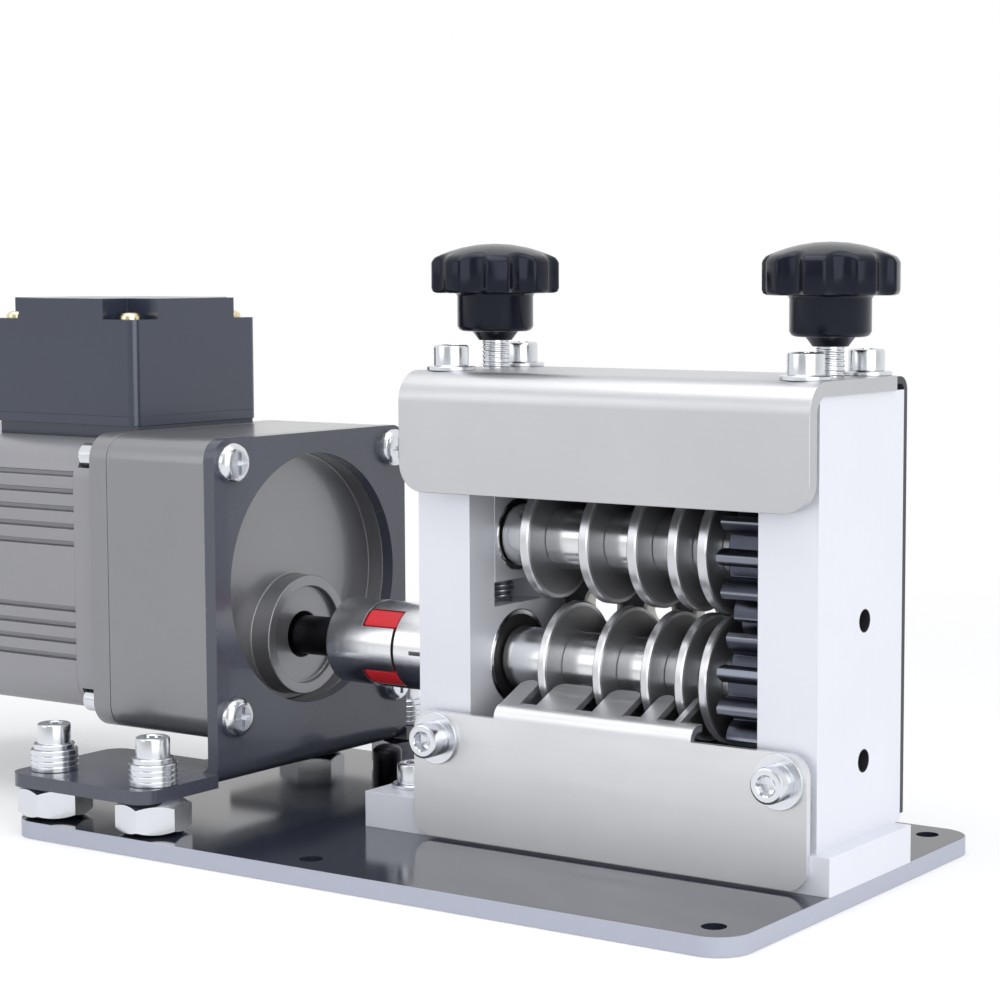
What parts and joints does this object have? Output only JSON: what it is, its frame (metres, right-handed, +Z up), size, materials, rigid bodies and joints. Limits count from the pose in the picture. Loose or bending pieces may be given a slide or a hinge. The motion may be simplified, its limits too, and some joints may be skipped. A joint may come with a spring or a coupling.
{
  "type": "wire stripping machine",
  "caption": "Motor driven wire stripper: paired cutting and feed discs on geared shafts between side plates, pressed together by knob screws, with a gear motor and coupling on a base plate",
  "frame": {"origin": "middle of the four mounting holes, on the underside of the base plate", "axes": "X along the shafts towards the gear end, Y away from the user, Z up"},
  "size_m": [0.3755, 0.14, 0.175],
  "materials": {
    "base_paint": "glossy anthracite paint",
    "bracket_paint": "glossy anthracite paint",
    "gearbox_paint": "mid-grey paint on cast metal",
    "motor_paint": "light grey paint",
    "fan_cover_paint": "light grey paint",
    "plate_aluminium": "fine milled, clear anodised",
    "cover_steel": "satin zinc plate",
    "bright_zinc": "bright zinc plate",
    "yellow_zinc": "yellow zinc plate",
    "bearing_steel": "ground and polished",
    "spring_steel": "drawn wire",
    "shaft_steel": "ground",
    "disc_steel": "polished tool steel",
    "oxide_steel": "black oxide",
    "black_steel": "black oxide",
    "lamination": "stacked sheet, varnished",
    "copper": "enamelled copper wire",
    "coupling_aluminium": "turned",
    "star_rubber": "smooth elastomer",
    "block_steel": "milled steel",
    "bush_plastic": "smooth hard plastic",
    "terminal_plastic": "smooth blue-grey plastic",
    "block_plastic": "moulded plastic",
    "black_plastic": "moulded plastic",
    "knob_plastic": "glossy black thermoset"
  },
  "bodies": {
    "frame": {"base_plate": "base_paint", "foot_bar": "plate_aluminium", "foot_screws": "bright_zinc", "side_plate_left": "plate_aluminium", "side_plate_right": "plate_aluminium", "side_plate_screws": "bright_zinc", "upper_cover": "cover_steel", "upper_cover_screws": "bright_zinc", "lower_cover": "cover_steel", "lower_cover_screws": "bright_zinc", "lower_cover_washers": "bright_zinc", "rear_guide_plate": "cover_steel", "rear_guide_screws": "bright_zinc", "guide_bushes": "bush_plastic", "lower_bearings": "bearing_steel", "lift_springs": "spring_steel", "motor_bracket": "bracket_paint", "spacer_nuts": "bright_zinc", "bracket_screws": "bright_zinc", "bracket_washers": "bright_zinc", "gearbox_screws": "bright_zinc", "gearbox_housing": "gearbox_paint", "gearbox_rear_plate": "gearbox_paint", "gear_motor_bearings": "bearing_steel", "motor_front_shield": "motor_paint", "motor_housing": "motor_paint", "motor_rear_shield": "motor_paint", "fan_cover": "fan_cover_paint", "tie_screws": "bright_zinc", "black_stud": "black_steel", "stator_core": "lamination", "stator_windings": "copper", "terminal_base": "terminal_plastic", "terminal_cover": "terminal_plastic", "terminal_cover_screws": "yellow_zinc", "terminal_block": "block_plastic", "cable_gland": "black_plastic"},
    "drive_line": {"output_shaft": "black_steel", "output_gear": "shaft_steel", "coupling_hub_motor": "coupling_aluminium", "coupling_star": "star_rubber", "coupling_hub_drive": "coupling_aluminium", "lower_shaft": "shaft_steel", "feed_discs": "disc_steel", "lower_sleeves": "shaft_steel", "lower_gear": "oxide_steel"},
    "countershaft": {"layshaft": "shaft_steel", "layshaft_gear": "shaft_steel"},
    "rotor": {"motor_shaft": "shaft_steel", "rotor_core": "lamination", "cooling_fan": "black_plastic"},
    "carriage": {"bearing_block_left": "block_steel", "bearing_block_right": "block_steel", "upper_bearings": "bearing_steel"},
    "cutter": {"upper_shaft": "shaft_steel", "cutting_discs": "disc_steel", "upper_sleeves": "shaft_steel", "upper_gear": "oxide_steel"},
    "left_pressure_screw": {"knob_left": "knob_plastic"},
    "right_pressure_screw": {"knob_right": "knob_plastic"}
  },
  "joints": [
    {"name": "drive_spin", "type": "hinge", "parent": "frame", "child": "drive_line", "pos_m": [0, 0.006, 0.055], "axis": [1, 0, 0], "continuous": true},
    {"name": "countershaft_spin", "type": "hinge", "parent": "frame", "child": "countershaft", "pos_m": [-0.15, 0.02525, 0.06933], "axis": [1, 0, 0], "continuous": true},
    {"name": "rotor_spin", "type": "hinge", "parent": "frame", "child": "rotor", "pos_m": [-0.2, 0.006, 0.073], "axis": [1, 0, 0], "continuous": true},
    {"name": "pressure_slide", "type": "slide", "parent": "frame", "child": "carriage", "axis": [0, 0, 1], "range_m": [0, 0.003], "deforming": ["lift_springs"]},
    {"name": "cutter_spin", "type": "hinge", "parent": "carriage", "child": "cutter", "pos_m": [0, 0.006, 0.091], "axis": [1, 0, 0], "continuous": true},
    {"name": "left_knob_turn", "type": "hinge", "parent": "carriage", "child": "left_pressure_screw", "pos_m": [-0.049, 0.006, 0.15], "axis": [0, 0, 1], "range_deg": [0, 864]},
    {"name": "right_knob_turn", "type": "hinge", "parent": "carriage", "child": "right_pressure_screw", "pos_m": [0.061, 0.006, 0.15], "axis": [0, 0, 1], "range_deg": [0, 864]}
  ],
  "couplings": [
    {"joint": "countershaft_spin", "follows": "drive_spin", "ratio": -3},
    {"joint": "rotor_spin", "follows": "drive_spin", "ratio": 13.333},
    {"joint": "cutter_spin", "follows": "drive_spin", "ratio": -1},
    {"joint": "left_knob_turn", "follows": "pressure_slide", "rad_per_m": 5026.5},
    {"joint": "right_knob_turn", "follows": "pressure_slide", "rad_per_m": 5026.5}
  ]
}
